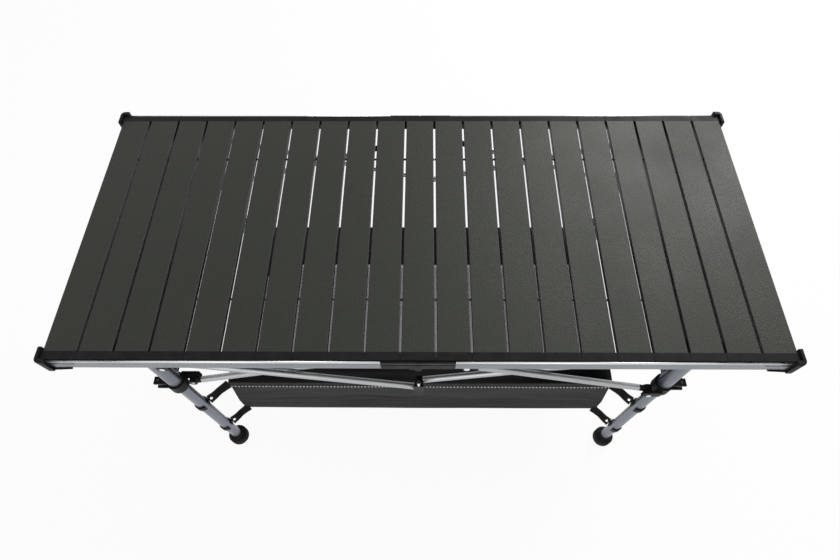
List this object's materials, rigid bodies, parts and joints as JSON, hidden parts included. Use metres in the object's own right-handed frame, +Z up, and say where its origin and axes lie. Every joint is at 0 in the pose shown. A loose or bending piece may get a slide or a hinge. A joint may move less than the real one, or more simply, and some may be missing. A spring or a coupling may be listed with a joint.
{
  "type": "folding table",
  "caption": "Low folding camp table with a slatted metal top, hinged rails, braced sliding legs and a hanging storage net.",
  "frame": {"origin": "middle of the footprint on the floor", "axes": "+X along the long side to the viewer's right, +Y from the front edge to the back, +Z up"},
  "size_m": [1.196, 0.532, 0.588],
  "materials": {
    "slat_metal": "fine hammered coat",
    "black_plastic": "satin",
    "cord": "matt",
    "rail_metal": "satin",
    "leg_metal": "satin grey",
    "steel": "bright",
    "foot_rubber": "matt",
    "net_mesh": "fine mesh",
    "webbing": "woven"
  },
  "bodies": {
    "left_frame": {"front_left_leg_tube": "leg_metal", "rear_left_leg_tube": "leg_metal", "left_top_brackets": "black_plastic", "left_collars": "black_plastic", "left_cross_tubes": "leg_metal", "left_frame_pins": "steel"},
    "left_top": {"front_left_rail": "rail_metal", "rear_left_rail": "rail_metal", "left_corner_caps": "black_plastic", "left_hinge_leaves": "black_plastic", "left_slats": "slat_metal", "left_slat_caps": "black_plastic", "left_cords": "cord", "hinge_pins": "steel"},
    "left_ties": {"left_ties": "leg_metal", "left_tie_ends": "black_plastic"},
    "left_braces": {"left_braces": "leg_metal", "left_brace_ends": "black_plastic", "left_tip_bolts": "steel"},
    "front_left_lower": {"front_left_lower_leg": "leg_metal", "front_left_foot": "foot_rubber", "front_left_strap_clips": "black_plastic"},
    "front_left_lever_body": {"front_left_lever": "black_plastic"},
    "rear_left_lower": {"rear_left_lower_leg": "leg_metal", "rear_left_foot": "foot_rubber", "rear_left_strap_clips": "black_plastic"},
    "rear_left_lever_body": {"rear_left_lever": "black_plastic"},
    "right_frame": {"front_right_leg_tube": "leg_metal", "rear_right_leg_tube": "leg_metal", "right_top_brackets": "black_plastic", "right_collars": "black_plastic", "right_cross_tubes": "leg_metal", "right_frame_pins": "steel"},
    "right_top": {"front_right_rail": "rail_metal", "rear_right_rail": "rail_metal", "right_corner_caps": "black_plastic", "right_hinge_leaves": "black_plastic", "right_slats": "slat_metal", "right_slat_caps": "black_plastic", "right_cords": "cord"},
    "right_ties": {"right_ties": "leg_metal", "right_tie_ends": "black_plastic"},
    "right_braces": {"right_braces": "leg_metal", "right_brace_ends": "black_plastic", "right_tip_bolts": "steel"},
    "front_right_lower": {"front_right_lower_leg": "leg_metal", "front_right_foot": "foot_rubber", "front_right_strap_clips": "black_plastic"},
    "front_right_lever_body": {"front_right_lever": "black_plastic"},
    "rear_right_lower": {"rear_right_lower_leg": "leg_metal", "rear_right_foot": "foot_rubber", "rear_right_strap_clips": "black_plastic"},
    "rear_right_lever_body": {"rear_right_lever": "black_plastic"},
    "hub": {"hubs": "black_plastic", "hub_bolts": "steel"},
    "net": {"storage_net": "net_mesh", "net_straps": "webbing"}
  },
  "joints": [
    {"name": "frame_fold", "type": "hinge", "parent": "left_frame", "child": "left_top", "pos_m": [-0.475, 0, 0.563], "axis": [0, -1, 0], "range_deg": [0, 80], "deforming": ["storage_net", "net_straps"]},
    {"name": "centre_hinge", "type": "hinge", "parent": "left_top", "child": "right_top", "pos_m": [0, 0, 0.551], "axis": [0, 1, 0], "range_deg": [0, 160]},
    {"name": "right_leg_pivot", "type": "hinge", "parent": "right_top", "child": "right_frame", "pos_m": [0.475, 0, 0.563], "axis": [0, -1, 0], "range_deg": [0, 80]},
    {"name": "left_tie_pivot", "type": "hinge", "parent": "left_frame", "child": "left_ties", "pos_m": [-0.418, 0, 0.535], "axis": [0, 1, 0], "range_deg": [0, 68.58]},
    {"name": "hub_pivot", "type": "hinge", "parent": "left_ties", "child": "hub", "pos_m": [0, 0, 0.411], "axis": [0, -1, 0], "range_deg": [0, 68.58]},
    {"name": "right_tie_pivot", "type": "hinge", "parent": "right_frame", "child": "right_ties", "pos_m": [0.418, 0, 0.535], "axis": [0, -1, 0], "range_deg": [0, 68.58]},
    {"name": "left_brace_pivot", "type": "hinge", "parent": "left_frame", "child": "left_braces", "pos_m": [-0.418, 0, 0.405], "axis": [0, -1, 0], "range_deg": [0, 67.76]},
    {"name": "right_brace_pivot", "type": "hinge", "parent": "right_frame", "child": "right_braces", "pos_m": [0.418, 0, 0.405], "axis": [0, 1, 0], "range_deg": [0, 67.76]},
    {"name": "front_left_leg_height", "type": "slide", "parent": "left_frame", "child": "front_left_lower", "axis": [0, 0, 1], "range_m": [0, 0.08]},
    {"name": "rear_left_leg_height", "type": "slide", "parent": "left_frame", "child": "rear_left_lower", "axis": [0, 0, 1], "range_m": [0, 0.08]},
    {"name": "front_right_leg_height", "type": "slide", "parent": "right_frame", "child": "front_right_lower", "axis": [0, 0, 1], "range_m": [0, 0.08]},
    {"name": "rear_right_leg_height", "type": "slide", "parent": "right_frame", "child": "rear_right_lower", "axis": [0, 0, 1], "range_m": [0, 0.08]},
    {"name": "net_height", "type": "slide", "parent": "left_frame", "child": "net", "axis": [0, 0, 1], "range_m": [0, 0.08]},
    {"name": "front_left_lever_turn", "type": "hinge", "parent": "left_frame", "child": "front_left_lever_body", "pos_m": [-0.478, -0.236, 0.4075], "axis": [0, 0, 1], "range_deg": [0, 100]},
    {"name": "rear_left_lever_turn", "type": "hinge", "parent": "left_frame", "child": "rear_left_lever_body", "pos_m": [-0.478, 0.236, 0.4075], "axis": [0, 0, -1], "range_deg": [0, 100]},
    {"name": "front_right_lever_turn", "type": "hinge", "parent": "right_frame", "child": "front_right_lever_body", "pos_m": [0.478, -0.236, 0.4075], "axis": [0, 0, -1], "range_deg": [0, 100]},
    {"name": "rear_right_lever_turn", "type": "hinge", "parent": "right_frame", "child": "rear_right_lever_body", "pos_m": [0.478, 0.236, 0.4075], "axis": [0, 0, 1], "range_deg": [0, 100]}
  ],
  "couplings": [
    {"joint": "centre_hinge", "follows": "frame_fold", "ratio": 2},
    {"joint": "right_leg_pivot", "follows": "frame_fold", "ratio": 1},
    {"joint": "left_tie_pivot", "follows": "frame_fold", "ratio": 0.85712},
    {"joint": "hub_pivot", "follows": "frame_fold", "ratio": 0.85712},
    {"joint": "right_tie_pivot", "follows": "frame_fold", "ratio": 0.85712},
    {"joint": "left_brace_pivot", "follows": "frame_fold", "ratio": 0.84682},
    {"joint": "right_brace_pivot", "follows": "frame_fold", "ratio": 0.84682},
    {"joint": "rear_left_leg_height", "follows": "front_left_leg_height", "ratio": 1},
    {"joint": "front_right_leg_height", "follows": "front_left_leg_height", "ratio": 1},
    {"joint": "rear_right_leg_height", "follows": "front_left_leg_height", "ratio": 1},
    {"joint": "net_height", "follows": "front_left_leg_height", "ratio": 1}
  ]
}
